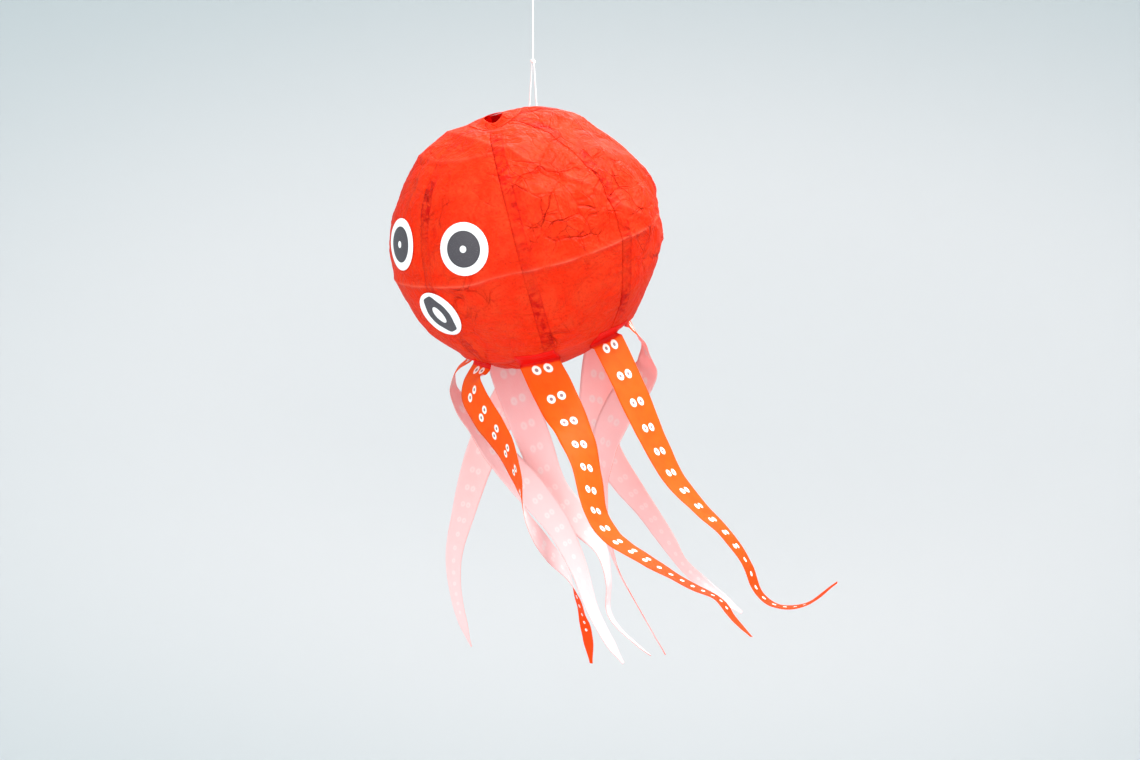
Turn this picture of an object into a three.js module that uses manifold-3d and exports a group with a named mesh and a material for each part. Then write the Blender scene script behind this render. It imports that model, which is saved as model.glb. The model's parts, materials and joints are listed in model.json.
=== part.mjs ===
// A paper-balloon octopus that hangs and flies on a thread. Millimetres, +Z up.
// The origin is the inside top of the hang loop, where a hook or a finger bears.
// The octopus faces -Y and leans to -X, as it hangs at rest.

import * as THREE from 'three';
import { mergeVertices } from 'three/addons/utils/BufferGeometryUtils.js';
import Module from 'manifold-3d';

const wasm = await Module();
wasm.setup();

// ---- driving dimensions ----

// Balloon: eight gores of glassine paper, a little flatter than a ball.
const BALLOON_DIAMETER = 160;
const CROWN_HEIGHT = 74;
const BASE_DEPTH = 79;
const LEAN_LEFT = 14.5;
const LEAN_FORWARD = 16;
const GORE_COUNT = 8;
const GORE_THICKNESS = 0.6;
const PAPER_GAP = 0.3;
const POLE_RING_RADIUS = 8;

// Round paper patches that close the two poles, and the blow hole in the top one.
const TOP_PATCH_RADIUS = 15;
const BASE_PATCH_RADIUS = 17;
const BLOW_HOLE_RADIUS = 5.5;
const PATCH_THICKNESS = 0.6;

// Face stickers. The face is centred on a seam.
const FACE_AZIMUTH = -46.5;
const EYE_RADIUS = 14.8;
const LEFT_EYE_SPREAD = 18;
const LEFT_EYE_LATITUDE = 15.6;
const RIGHT_EYE_SPREAD = 20.5;
const RIGHT_EYE_LATITUDE = 12.4;
const MOUTH_RADIUS = 14.8;
const MOUTH_SPREAD = 2;
const MOUTH_LATITUDE = -15.8;
const STICKER_THICKNESS = 0.4;

// Arms: tapering paper strips, each glued by a tab at its root.
const ARM_LENGTH = 224;
const ARM_ROOT_WIDTH = 24;
const ARM_TIP_WIDTH = 6;
const ARM_THICKNESS = 0.6;
const ARM_LATITUDE = -54.5;
const TAB_LENGTH = 11;
const HINGE_CLEARANCE = 0.9;

// Thread: a hang loop, one line, a knot, and a bridle through two holes in the paper.
const THREAD_DIAMETER = 0.9;
const KNOT_RADIUS = 1.5;
const KNOT_HEIGHT = 2.8;
const LOOP_KNOT_TOP = -13;
const BRIDLE_KNOT_TOP = -52.2;
const THREAD_HOLE_HEIGHT = -81;
const THREAD_HOLE_AZIMUTH = FACE_AZIMUTH + 180;
const THREAD_HOLE_LATITUDE = 66;
const THREAD_HOLE_SPACING = 6.2;
const THREAD_HOLE_CLEARANCE = 0.95;
const STRAND_GAP = 0.6;

// Half of the hang loop, sideways and up from the loop's inside top, above its knot.
const LOOP_ROUTE = [[-1.5, -10.6], [-3.1, -7.2], [-4, -4], [-3, -0.9]];

// Each arm: its place round the balloon, and its stations as [x, y, z] from its root, then the
// azimuth and the rise, in degrees, of the way its printed side looks there.
const ARMS = [
  {
    name: 'arm_front_left', azimuth: -66,
    route: [
      [-6, -10, -12, -52, 0], [-1, -22, -24, -60, 0], [14, -42, -45, -72, 0],
      [21, -54, -62, -78, 0], [27, -56, -85, -95, 0], [38, -48, -103, -105, 0],
      [50, -36, -119, -82, 10], [57, -22, -139, -50, 5], [61, -12, -155, -15, 0],
      [64, -4, -176, -10, 0],
    ],
  },
  {
    name: 'arm_front', azimuth: -12,
    route: [
      [11, -8, -22, 15, 0], [21, -21, -42, 30, 0], [27, -32, -60, 40, 0],
      [32, -45, -82, 45, 5], [40, -54, -95, 48, 30], [59, -67, -107, 42, 60],
      [82, -86, -119, 40, 64], [96, -97, -125, 48, 58], [103, -106, -134, 52, 45],
      [114, -116, -145, 50, 38],
    ],
  },
  {
    name: 'arm_front_right', azimuth: 42,
    route: [
      [14, -8, -29, 42, 0], [27, -15, -58, 47, 5], [38, -22, -79, 52, 15],
      [54, -31, -97, 55, 25], [67, -39, -110, 58, 28], [77, -45, -125, 62, 20],
      [83, -49, -140, 60, 35], [92, -54, -147, 45, 68], [107, -61, -146, -20, 75],
      [126, -68, -132, -60, 55],
    ],
  },
  {
    name: 'arm_right', azimuth: 85,
    route: [
      [10, 3, -15, 100, 0], [12, 9, -28, 122, 0], [3, 14, -41, 138, 0],
      [-7, 19, -57, 140, 0], [-14, 23, -77, 135, 0], [-16, 26, -102, 120, 0],
      [-12, 29, -127, 105, 0], [-5, 30, -150, 95, 0], [5, 29, -168, 92, 0],
      [24, 26, -202, 92, 0],
    ],
  },
  {
    name: 'arm_back_right', azimuth: 130,
    route: [
      [-5, 15, -46, 150, 0], [-5, 21, -62, 155, 0], [0, 27, -84, 155, 0],
      [11, 31, -102, 150, 0], [26, 34, -122, 145, 0], [39, 35, -141, 150, 0],
      [49, 34, -156, 120, -20], [67, 31, -172, 100, -40], [90, 28, -189, 100, -40],
    ],
  },
  {
    name: 'arm_back', azimuth: 175,
    route: [
      [-10, 11, -17, 185, 0], [-20, 19, -35, 190, 0], [-29, 23, -52, 200, 0],
      [-39, 25, -69, 200, 0], [-48, 25, -92, 195, 0], [-56, 23, -120, 190, 0],
      [-62, 20, -148, 180, 0], [-60, 17, -173, 165, 0], [-53, 14, -197, 130, 0],
      [-42, 11, -223, 110, 0],
    ],
  },
  {
    name: 'arm_back_left', azimuth: -140,
    route: [
      [5, 3, -22, -150, 0], [13, 5, -43, -155, 0], [22, 7, -67, -155, 0],
      [32, 9, -93, -155, 0], [49, 10, -113, -150, 0], [62, 11, -131, -125, 0],
      [66, 12, -150, -112, 0], [67, 13, -170, -112, 0], [83, 14, -188, -98, -20],
      [112, 16, -209, -98, -30],
    ],
  },
  {
    name: 'arm_left', azimuth: -102,
    route: [
      [-12, 2, -10, -92, 0], [-14, 5, -21, -95, 0], [-3, 8, -38, -110, 0],
      [14, 11, -61, -130, 0], [34, 13, -84, -150, 0], [50, 13, -105, -158, 0],
      [61, 12, -128, -158, 0], [69, 11, -152, -153, 0], [78, 10, -170, -148, 0],
      [92, 9, -191, -145, 0],
    ],
  },
];

// ---- materials ----

function paper(color) {
  return new THREE.MeshStandardMaterial({ color, roughness: 0.6, metalness: 0 });
}
const RED_PAPER = paper(0xff3c1e);
const GLUED_PAPER = paper(0xe10600);
const ORANGE_PAPER = paper(0xff6e28);
const STICKER_PAPER = paper(0xf4f4f2);
const COTTON = new THREE.MeshStandardMaterial({ color: 0xf0f0ee, roughness: 0.9, metalness: 0 });

const part = new THREE.Group();

function addMesh(parent, name, geometry, material) {
  const mesh = new THREE.Mesh(geometry, material);
  mesh.name = name;
  parent.add(mesh);
  return mesh;
}

// ---- balloon surface, in the balloon's own upright frame ----

const rad = THREE.MathUtils.degToRad;
const balloonRadius = BALLOON_DIAMETER / 2;

// A point of the skin: azimuth from -Y towards +X, latitude up from the widest ring.
function balloonPoint(azimuth, latitude, offset) {
  const a = rad(azimuth);
  const l = rad(latitude);
  const polar = latitude > 0 ? CROWN_HEIGHT : BASE_DEPTH;
  const ring = (balloonRadius + offset) * Math.cos(l);
  return new THREE.Vector3(ring * Math.sin(a), -ring * Math.cos(a), (polar + offset) * Math.sin(l));
}

// The skin point that lies so far east and north, along the skin, of a given place.
function balloonPlace(azimuth, latitude, east, north, offset) {
  const a = rad(azimuth);
  const l = rad(latitude);
  const out = new THREE.Vector3(Math.cos(l) * Math.sin(a), -Math.cos(l) * Math.cos(a), Math.sin(l));
  const eastward = new THREE.Vector3(Math.cos(a), Math.sin(a), 0);
  const northward = new THREE.Vector3().crossVectors(out, eastward);
  const reach = Math.hypot(east, north);
  const angle = reach / balloonRadius;
  const way = eastward.multiplyScalar(east).addScaledVector(northward, north);
  if (reach > 0) way.multiplyScalar(Math.sin(angle) / reach);
  const spot = out.multiplyScalar(Math.cos(angle)).add(way);
  const spotLatitude = THREE.MathUtils.radToDeg(Math.asin(THREE.MathUtils.clamp(spot.z, -1, 1)));
  const spotAzimuth = THREE.MathUtils.radToDeg(Math.atan2(spot.x, -spot.y));
  return balloonPoint(spotAzimuth, spotLatitude, offset);
}

// Moves every vertex of a geometry to place(x, y, z).
function reshape(geometry, place) {
  const position = geometry.getAttribute('position');
  for (let i = 0; i < position.count; i += 1) {
    const moved = place(position.getX(i), position.getY(i), position.getZ(i));
    position.setXYZ(i, moved.x, moved.y, moved.z);
  }
  geometry.deleteAttribute('normal');
  geometry.deleteAttribute('uv');
  return mergeVertices(geometry, 1e-5);
}

// ---- placing the balloon under the thread ----

const lean = new THREE.Euler(rad(LEAN_FORWARD), rad(-LEAN_LEFT), 0, 'YXZ');
const holeMiddle = balloonPoint(THREAD_HOLE_AZIMUTH, THREAD_HOLE_LATITUDE, 0).applyEuler(lean);
const balloon = new THREE.Group();
balloon.rotation.copy(lean);
balloon.position.set(0, 0, THREAD_HOLE_HEIGHT).sub(holeMiddle);
balloon.updateMatrixWorld();
part.add(balloon);

const holeRing = balloonRadius * Math.cos(rad(THREAD_HOLE_LATITUDE));
const holeStep = THREE.MathUtils.radToDeg(Math.asin(THREAD_HOLE_SPACING / 2 / holeRing));
const holeAzimuths = [THREAD_HOLE_AZIMUTH - holeStep, THREAD_HOLE_AZIMUTH + holeStep];
const holes = holeAzimuths.map((azimuth) => {
  return balloon.localToWorld(balloonPoint(azimuth, THREAD_HOLE_LATITUDE, 0));
});
const bridleAxis = holes[1].clone().sub(holes[0]).setZ(0).normalize();

// ---- gores ----

const GORE_COLUMNS = 4;
const GORE_ROWS = 16;
const goreWidth = 360 / GORE_COUNT;
const poleLatitude = THREE.MathUtils.radToDeg(Math.acos(POLE_RING_RADIUS / balloonRadius));
const goreInset = THREE.MathUtils.radToDeg(PAPER_GAP / 2 / POLE_RING_RADIUS);

function goreGeometry(seamAzimuth) {
  const sheet = new THREE.BoxGeometry(1, 1, 1, GORE_COLUMNS, GORE_ROWS, 1);
  return reshape(sheet, (x, y, z) => {
    const latitude = 2 * y * poleLatitude;
    const inset = goreInset * POLE_RING_RADIUS / (balloonRadius * Math.cos(rad(latitude)));
    const azimuth = seamAzimuth + goreWidth / 2 + 2 * x * (goreWidth / 2 - inset);
    return balloonPoint(azimuth, latitude, (z - 0.5) * GORE_THICKNESS);
  });
}

function toManifold(geometry) {
  return new wasm.Manifold(new wasm.Mesh({
    numProp: 3,
    vertProperties: new Float32Array(geometry.getAttribute('position').array),
    triVerts: new Uint32Array(geometry.getIndex().array),
  }));
}

function toGeometry(solid) {
  const mesh = solid.getMesh();
  const geometry = new THREE.BufferGeometry();
  geometry.setAttribute('position', new THREE.BufferAttribute(mesh.vertProperties, 3));
  geometry.setIndex(new THREE.BufferAttribute(mesh.triVerts, 1));
  return geometry;
}

// An upright pin at a thread hole, in the balloon's own frame.
function holePin(hole) {
  const radius = THREAD_DIAMETER / 2 + THREAD_HOLE_CLEARANCE;
  const pin = new THREE.CylinderGeometry(radius, radius, 12, 12);
  pin.rotateX(Math.PI / 2);
  pin.translate(hole.x, hole.y, hole.z);
  pin.applyMatrix4(balloon.matrixWorld.clone().invert());
  return reshape(pin, (x, y, z) => new THREE.Vector3(x, y, z));
}

const pins = holes.map((hole) => toManifold(holePin(hole)));
for (let i = 0; i < GORE_COUNT; i += 1) {
  const whole = toManifold(goreGeometry(FACE_AZIMUTH + i * goreWidth));
  const pierced = pins.reduce((solid, pin) => solid.subtract(pin), whole);
  addMesh(balloon, `gore_${i + 1}`, toGeometry(pierced), RED_PAPER);
}

// ---- patches and stickers, round discs wrapped on the skin ----

const DISC_SIDES = 24;
const DISC_RINGS = 3;

// A disc, or a washer where inner is above 0, with its lower face just above the skin.
function discGeometry(azimuth, latitude, inner, outer, thickness) {
  const profile = [];
  for (let i = 0; i <= DISC_RINGS; i += 1) {
    profile.push(new THREE.Vector2(inner + (outer - inner) * i / DISC_RINGS, 0));
  }
  for (let i = DISC_RINGS; i >= 0; i -= 1) {
    profile.push(new THREE.Vector2(inner + (outer - inner) * i / DISC_RINGS, thickness));
  }
  if (inner > 0) profile.push(profile[0].clone());
  const disc = new THREE.LatheGeometry(profile, DISC_SIDES);
  return reshape(disc, (x, y, z) => balloonPlace(azimuth, latitude, x, -z, PAPER_GAP + y));
}

addMesh(balloon, 'top_patch',
  discGeometry(0, 90, BLOW_HOLE_RADIUS, TOP_PATCH_RADIUS, PATCH_THICKNESS), RED_PAPER);
addMesh(balloon, 'base_patch',
  discGeometry(0, -90, 0, BASE_PATCH_RADIUS, PATCH_THICKNESS), RED_PAPER);

const STICKERS = [
  ['eye_left', FACE_AZIMUTH - LEFT_EYE_SPREAD, LEFT_EYE_LATITUDE, EYE_RADIUS],
  ['eye_right', FACE_AZIMUTH + RIGHT_EYE_SPREAD, RIGHT_EYE_LATITUDE, EYE_RADIUS],
  ['mouth', FACE_AZIMUTH - MOUTH_SPREAD, MOUTH_LATITUDE, MOUTH_RADIUS],
];
for (const [name, azimuth, latitude, radius] of STICKERS) {
  const disc = discGeometry(azimuth, latitude, 0, radius, STICKER_THICKNESS);
  addMesh(balloon, name, disc, STICKER_PAPER);
}

// ---- arms ----

const ARM_STEPS = 48;
const rootOffset = PAPER_GAP + ARM_THICKNESS / 2;

// The strip keeps most of its width for half its length, then narrows fast to a slim tip.
function armWidth(along) {
  const t = Math.min(along / ARM_LENGTH, 1);
  return ARM_TIP_WIDTH + (ARM_ROOT_WIDTH - ARM_TIP_WIDTH) * (1 - t ** 3) ** 2.75;
}

function facing(azimuth, rise) {
  const a = rad(azimuth);
  const r = rad(rise);
  return new THREE.Vector3(Math.sin(a) * Math.cos(r), -Math.cos(a) * Math.cos(r), Math.sin(r));
}

// The strip's glued tab, which lies on the skin above the root line.
function tabGeometry(azimuth) {
  const sheet = new THREE.BoxGeometry(ARM_ROOT_WIDTH, TAB_LENGTH, ARM_THICKNESS, 4, 2, 1);
  return reshape(sheet, (x, y, z) => {
    const north = HINGE_CLEARANCE + TAB_LENGTH / 2 + y;
    return balloonPlace(azimuth, ARM_LATITUDE, x, north, rootOffset + z);
  });
}

// The hanging strip, from just below its root line, where it lies along the skin, to its tip.
// Where the strip is longer than its stations reach, it runs on straight.
function armGeometry(root, rootWest, route) {
  const stations = route.map(([x, y, z]) => new THREE.Vector3(x, y, z).add(root));
  const line = new THREE.CatmullRomCurve3([root, ...stations], false, 'centripetal');
  line.arcLengthDivisions = 400;
  const faces = route.map((station) => facing(station[3], station[4]));
  const lineLength = line.getLength();
  const sheet = new THREE.BoxGeometry(1, 1, 1, 2, ARM_STEPS, 1);
  return reshape(sheet, (x, y, z) => {
    const along = HINGE_CLEARANCE + (ARM_LENGTH - HINGE_CLEARANCE) * (y + 0.5);
    const u = line.getUtoTmapping(Math.min(along / lineLength, 1));
    const beyond = Math.max(along - lineLength, 0);
    const span = u * route.length;
    const next = Math.min(Math.floor(span), route.length - 1);
    const blend = THREE.MathUtils.smoothstep(span - next, 0, 1);
    const face = faces[Math.max(next - 1, 0)].clone().lerp(faces[next], blend);
    const tangent = line.getTangent(u);
    const across = new THREE.Vector3().crossVectors(tangent, face).normalize();
    if (next === 0) across.lerp(rootWest, 1 - blend).normalize();
    const out = new THREE.Vector3().crossVectors(across, tangent).normalize();
    const point = line.getPoint(u).addScaledVector(tangent, beyond);
    point.addScaledVector(across, x * armWidth(along));
    return point.addScaledVector(out, z * ARM_THICKNESS);
  });
}

for (const { name, azimuth, route } of ARMS) {
  const root = balloon.localToWorld(balloonPoint(azimuth, ARM_LATITUDE, rootOffset));
  const west = new THREE.Vector3(-Math.cos(rad(azimuth)), -Math.sin(rad(azimuth)), 0);
  west.applyEuler(lean);
  addMesh(balloon, name.replace('arm', 'tab'), tabGeometry(azimuth), GLUED_PAPER);
  addMesh(part, name, armGeometry(root, west, route), ORANGE_PAPER);
}

// ---- thread ----

const THREAD_SIDES = 8;
const bridleKnotBottom = BRIDLE_KNOT_TOP - KNOT_HEIGHT;

function threadGeometry(points, steps) {
  const section = new THREE.Shape();
  for (let i = 0; i < THREAD_SIDES; i += 1) {
    const angle = 2 * Math.PI * i / THREAD_SIDES;
    const x = THREAD_DIAMETER / 2 * Math.cos(angle);
    const y = THREAD_DIAMETER / 2 * Math.sin(angle);
    if (i === 0) section.moveTo(x, y);
    else section.lineTo(x, y);
  }
  section.closePath();
  const path = new THREE.CatmullRomCurve3(points, false, 'centripetal');
  return new THREE.ExtrudeGeometry(section, { steps, extrudePath: path, bevelEnabled: false });
}

// A half route, as [sideways, height] points, joined to its mirror image.
function mirroredRoute(half, middleHeight, sideways) {
  const left = half.map(([side, height]) => sideways.clone().multiplyScalar(side).setZ(height));
  const right = half.map(([side, height]) => sideways.clone().multiplyScalar(-side).setZ(height));
  return [...left, new THREE.Vector3(0, 0, middleHeight), ...right.reverse()];
}

function knotGeometry(top) {
  const profile = [[0, 0], [0.6, 0.08], [1, 0.45], [0.85, 0.8], [0, 1]].map(([r, h]) => {
    return new THREE.Vector2(r * KNOT_RADIUS, h * KNOT_HEIGHT);
  });
  const knot = new THREE.LatheGeometry(profile, 10);
  return knot.rotateX(Math.PI / 2).translate(0, 0, top - KNOT_HEIGHT);
}

// The two strands that enter a knot lie side by side.
const strandSide = -(THREAD_DIAMETER + STRAND_GAP) / 2;
const loopHalf = [[strandSide, LOOP_KNOT_TOP + PAPER_GAP], ...LOOP_ROUTE];
const loopPath = mirroredRoute(loopHalf, THREAD_DIAMETER / 2, new THREE.Vector3(1, 0, 0));
addMesh(part, 'hang_loop', threadGeometry(loopPath, 24), COTTON);
addMesh(part, 'loop_knot', knotGeometry(LOOP_KNOT_TOP), COTTON);

const lineTop = LOOP_KNOT_TOP - KNOT_HEIGHT - 0.5;
const lineBottom = BRIDLE_KNOT_TOP + PAPER_GAP;
const linePath = [lineTop, (lineTop + lineBottom) / 2, lineBottom].map((height) => {
  return new THREE.Vector3(0, 0, height);
});
addMesh(part, 'hang_line', threadGeometry(linePath, 14), COTTON);
addMesh(part, 'bridle_knot', knotGeometry(BRIDLE_KNOT_TOP), COTTON);

// The bridle runs straight from its knot to a hole, round under the skin, and up the other hole.
const turnRadius = THREAD_HOLE_SPACING / 2;
const bridleHalf = [0, 1 / 3, 2 / 3, 1].map((share) => [
  THREE.MathUtils.lerp(strandSide, -turnRadius, share),
  THREE.MathUtils.lerp(bridleKnotBottom - PAPER_GAP, THREAD_HOLE_HEIGHT - 0.5, share),
]);
for (const angle of [30, 60]) {
  const drop = turnRadius * Math.sin(rad(angle));
  bridleHalf.push([-turnRadius * Math.cos(rad(angle)), THREAD_HOLE_HEIGHT - 0.5 - drop]);
}
const turnBottom = THREAD_HOLE_HEIGHT - 0.5 - turnRadius;
const bridlePath = mirroredRoute(bridleHalf, turnBottom, bridleAxis);
addMesh(part, 'bridle_thread', threadGeometry(bridlePath, 40), COTTON);

export default part;
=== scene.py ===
"""A paper-balloon octopus that hangs on a cotton thread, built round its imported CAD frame. Metres."""
import json
from math import acos, asin, cos, e, pi, radians, sin

import bpy
import numpy as np
from mathutils import Matrix, Vector


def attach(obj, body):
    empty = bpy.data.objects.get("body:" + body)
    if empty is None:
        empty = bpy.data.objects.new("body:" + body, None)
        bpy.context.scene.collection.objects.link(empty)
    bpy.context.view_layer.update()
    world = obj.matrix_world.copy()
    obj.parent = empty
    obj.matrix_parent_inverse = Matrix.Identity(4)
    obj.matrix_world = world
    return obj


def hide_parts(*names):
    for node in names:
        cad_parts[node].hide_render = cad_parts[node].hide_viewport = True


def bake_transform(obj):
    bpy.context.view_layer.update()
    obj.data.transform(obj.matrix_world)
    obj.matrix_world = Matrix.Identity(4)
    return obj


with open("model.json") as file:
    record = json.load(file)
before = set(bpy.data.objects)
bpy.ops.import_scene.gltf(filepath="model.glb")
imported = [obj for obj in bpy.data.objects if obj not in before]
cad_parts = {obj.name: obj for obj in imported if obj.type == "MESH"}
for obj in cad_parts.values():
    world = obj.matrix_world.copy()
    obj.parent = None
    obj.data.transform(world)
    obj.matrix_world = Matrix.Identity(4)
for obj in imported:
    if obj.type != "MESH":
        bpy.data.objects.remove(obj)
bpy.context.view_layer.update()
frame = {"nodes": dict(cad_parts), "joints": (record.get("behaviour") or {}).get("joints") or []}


# ---- Camera ----
# A level camera a little over a metre in front of the toy, at the height of the balloon's
# underside, with a lens somewhat longer than the usual.

AIM = Vector((0.0217, 0.0, -0.2403))
CAMERA_DISTANCE = 1.25
FOCAL_LENGTH_MM = 67.4


def put(name, data):
    """A new object in the scene."""
    made = bpy.data.objects.new(name, data)
    bpy.context.scene.collection.objects.link(made)
    return made


camera_data = bpy.data.cameras.new("camera")
camera_data.lens = FOCAL_LENGTH_MM
camera_data.sensor_width = 36.0
camera = put("camera", camera_data)
camera.location = AIM + Vector((0.0, -CAMERA_DISTANCE, 0.0))
camera.rotation_euler = (pi / 2, 0.0, 0.0)
bpy.context.scene.camera = camera


# ---- Thread ----
# White cotton thread, two plies twisted together. A tied loop hangs on the hook, a single line
# runs down to a second knot, and from there the thread goes through two holes in the paper.

THREAD_DIAMETER = 0.0009
PLY_SHARE = 0.54
PLY_TURN_LENGTH = 0.0034
LOOP_KNOT_TOP = -0.013
KNOT_HEIGHT = 0.0028
KNOT_RADIUS = 0.00135
BRIDLE_KNOT_TOP = -0.0522
STRAND_GAP = 0.0006
# Half of the tied loop, from the knot up to the hook.
LOOP_SIDE = ((-0.0015, -0.0106), (-0.0031, -0.0072), (-0.004, -0.004), (-0.003, -0.0009))
THREAD_POINT_SPACING = 0.0004
COTTON_ROUGHNESS = 0.85
COTTON_BUMP = 0.00006
COTTON_LIGHT = (0.93, 0.93, 0.91)
COTTON_SHADE = (0.74, 0.75, 0.76)


class Wire:
    """A wire from one node's output. Arithmetic on a wire adds Math nodes to its node tree."""

    def __init__(self, tree, socket=None):
        self.tree = tree
        self.socket = socket

    def node(self, kind, settings=None, sockets=None, output=0):
        """Adds a node: its settings first, then the values or wires of its sockets."""
        made = self.tree.nodes.new(kind)
        for name, value in (settings or {}).items():
            setattr(made, name, value)
        for name, value in (sockets or {}).items():
            if isinstance(value, Wire):
                self.tree.links.new(value.socket, made.inputs[name])
            else:
                made.inputs[name].default_value = value
        return Wire(self.tree, made.outputs[output] if made.outputs else None)

    def sibling(self, output):
        """Another output of the node that this wire leaves."""
        return Wire(self.tree, self.socket.node.outputs[output])

    def math(self, operation, other=None, first=None):
        """A Math node on this wire and another term, or on a first term and this wire."""
        terms = [term for term in (first, self, other) if term is not None]
        return self.node("ShaderNodeMath", {"operation": operation}, dict(enumerate(terms)))

    def __add__(self, other):
        return self.math("ADD", other)

    def __sub__(self, other):
        return self.math("SUBTRACT", other)

    def __rsub__(self, other):
        return self.math("SUBTRACT", first=other)

    def __mul__(self, other):
        return self.math("MULTIPLY", other)

    def __truediv__(self, other):
        return self.math("DIVIDE", other)

    def __rtruediv__(self, other):
        return self.math("DIVIDE", first=other)

    def __pow__(self, other):
        return self.math("POWER", other)

    def __neg__(self):
        return self.math("MULTIPLY", -1.0)

    def __abs__(self):
        return self.math("ABSOLUTE")

    def __gt__(self, other):
        return self.math("GREATER_THAN", other)

    __radd__ = __add__
    __rmul__ = __mul__


def smooth(wire, low, high):
    """0 below low, 1 above high, and a smooth step between, also where low is above high."""
    return wire.node("ShaderNodeMapRange", {"interpolation_type": "SMOOTHSTEP"},
                     {"Value": wire, "From Min": low, "From Max": high})


def vector_math(operation, first, second=None):
    """A Vector Math node on one or two vectors, at least one of which is a wire."""
    start = first if isinstance(first, Wire) else second
    sockets = {0: first} if second is None else {0: first, 1: second}
    if operation == "SCALE":
        sockets = {0: first, "Scale": second}
    output = "Value" if operation in ("LENGTH", "DISTANCE", "DOT_PRODUCT") else "Vector"
    return start.node("ShaderNodeVectorMath", {"operation": operation}, sockets, output)


def mixed(factor, first, second):
    """A mix of two colours."""
    return factor.node("ShaderNodeMix", {"data_type": "RGBA"},
                       {"Factor": factor, 6: paint(first), 7: paint(second)}, 2)


def paint(colour):
    return colour if isinstance(colour, Wire) else (*colour, 1.0)


def noise(vector, scale, detail=2.0, roughness=0.5):
    return vector.node("ShaderNodeTexNoise", {}, {
        "Vector": vector, "Scale": scale, "Detail": detail, "Roughness": roughness})


def new_material(name):
    """A material with an empty tree, and a loose wire to start from."""
    made = bpy.data.materials.new(name)
    made.use_nodes = True
    made.node_tree.nodes.clear()
    return made, Wire(made.node_tree)


def finish_material(start, colour, roughness, height, depth, specular, glow=None, through=0.0,
                    sheen=0.0):
    """Adds a Principled shader with a bump. A sheet with a glow lets a share of that colour through."""
    bump = start.node("ShaderNodeBump", {}, {"Height": height, "Distance": depth})
    shader = start.node("ShaderNodeBsdfPrincipled", {}, {
        "Base Color": colour, "Roughness": roughness, "Normal": bump,
        "Specular IOR Level": specular, "Sheen Weight": sheen})
    if glow:
        lit = start.node("ShaderNodeBsdfTranslucent", {}, {"Color": (*glow, 1.0), "Normal": bump})
        shader = start.node("ShaderNodeMixShader", {}, {0: through, 1: shader, 2: lit})
    start.node("ShaderNodeOutputMaterial", {}, {"Surface": shader})


def geometry_tree(name, inputs):
    """A Geometry Nodes tree with named inputs, as {name: kind}. Gives it and its inputs' wires."""
    tree = bpy.data.node_groups.new(name, "GeometryNodeTree")
    for label, kind in inputs.items():
        tree.interface.new_socket(label, in_out="INPUT", socket_type="NodeSocket" + kind)
    tree.interface.new_socket("Geometry", in_out="OUTPUT", socket_type="NodeSocketGeometry")
    source = tree.nodes.new("NodeGroupInput")
    return tree, {label: Wire(tree, source.outputs[label]) for label in inputs}


def close_tree(geometry, finishes):
    """Ends a tree: real geometry, then its materials, as [(material, selection or None)]."""
    result = geometry.node("GeometryNodeRealizeInstances", {}, {"Geometry": geometry})
    for material, selection in finishes:
        sockets = {"Geometry": result, "Material": material}
        if selection is not None:
            sockets["Selection"] = selection
        result = result.node("GeometryNodeSetMaterial", {}, sockets)
    result.node("NodeGroupOutput", {}, {"Geometry": result})


def grow(name, tree, values, source=None, place=None):
    """Runs a tree on an object and keeps what it makes as a plain mesh, moved to place."""
    piece = put(name, source or bpy.data.meshes.new(name))
    modifier = piece.modifiers.new("grown", "NODES")
    modifier.node_group = tree
    for item in tree.interface.items_tree:
        if item.in_out == "INPUT" and item.name in values:
            modifier[item.identifier] = values[item.name]
    bpy.context.view_layer.update()
    evaluated = piece.evaluated_get(bpy.context.evaluated_depsgraph_get())
    result = bpy.data.meshes.new_from_object(evaluated)
    piece.modifiers.clear()
    piece.data = result
    result.name = name
    if place is not None:
        result.transform(place)
    for polygon in result.polygons:
        polygon.use_smooth = True
    return piece


def path_mesh(name, points):
    """A line of edges through points."""
    mesh = bpy.data.meshes.new(name)
    edges = [(i, i + 1) for i in range(len(points) - 1)]
    mesh.from_pydata([tuple(p) for p in points], edges, [])
    return mesh


def smooth_path(points, spacing):
    """Points a set distance apart on a smooth curve through the given points."""
    ends = [2 * points[0] - points[1], *points, 2 * points[-1] - points[-2]]
    dense = []
    for a, b, c, d in zip(ends, ends[1:], ends[2:], ends[3:]):
        for step in range(24):
            t = step / 24
            dense.append(0.5 * (2 * b + (c - a) * t + (2 * a - 5 * b + 4 * c - d) * t * t
                                + (3 * b - a - 3 * c + d) * t ** 3))
    dense.append(points[-1])
    reach = np.concatenate([[0.0], np.cumsum([(q - p).length for p, q in zip(dense, dense[1:])])])
    count = max(2, round(reach[-1] / spacing) + 1)
    places = np.linspace(0.0, reach[-1], count)
    columns = [np.interp(places, reach, [p[axis] for p in dense]) for axis in range(3)]
    return [Vector(p) for p in zip(*columns)], float(reach[-1])


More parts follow.
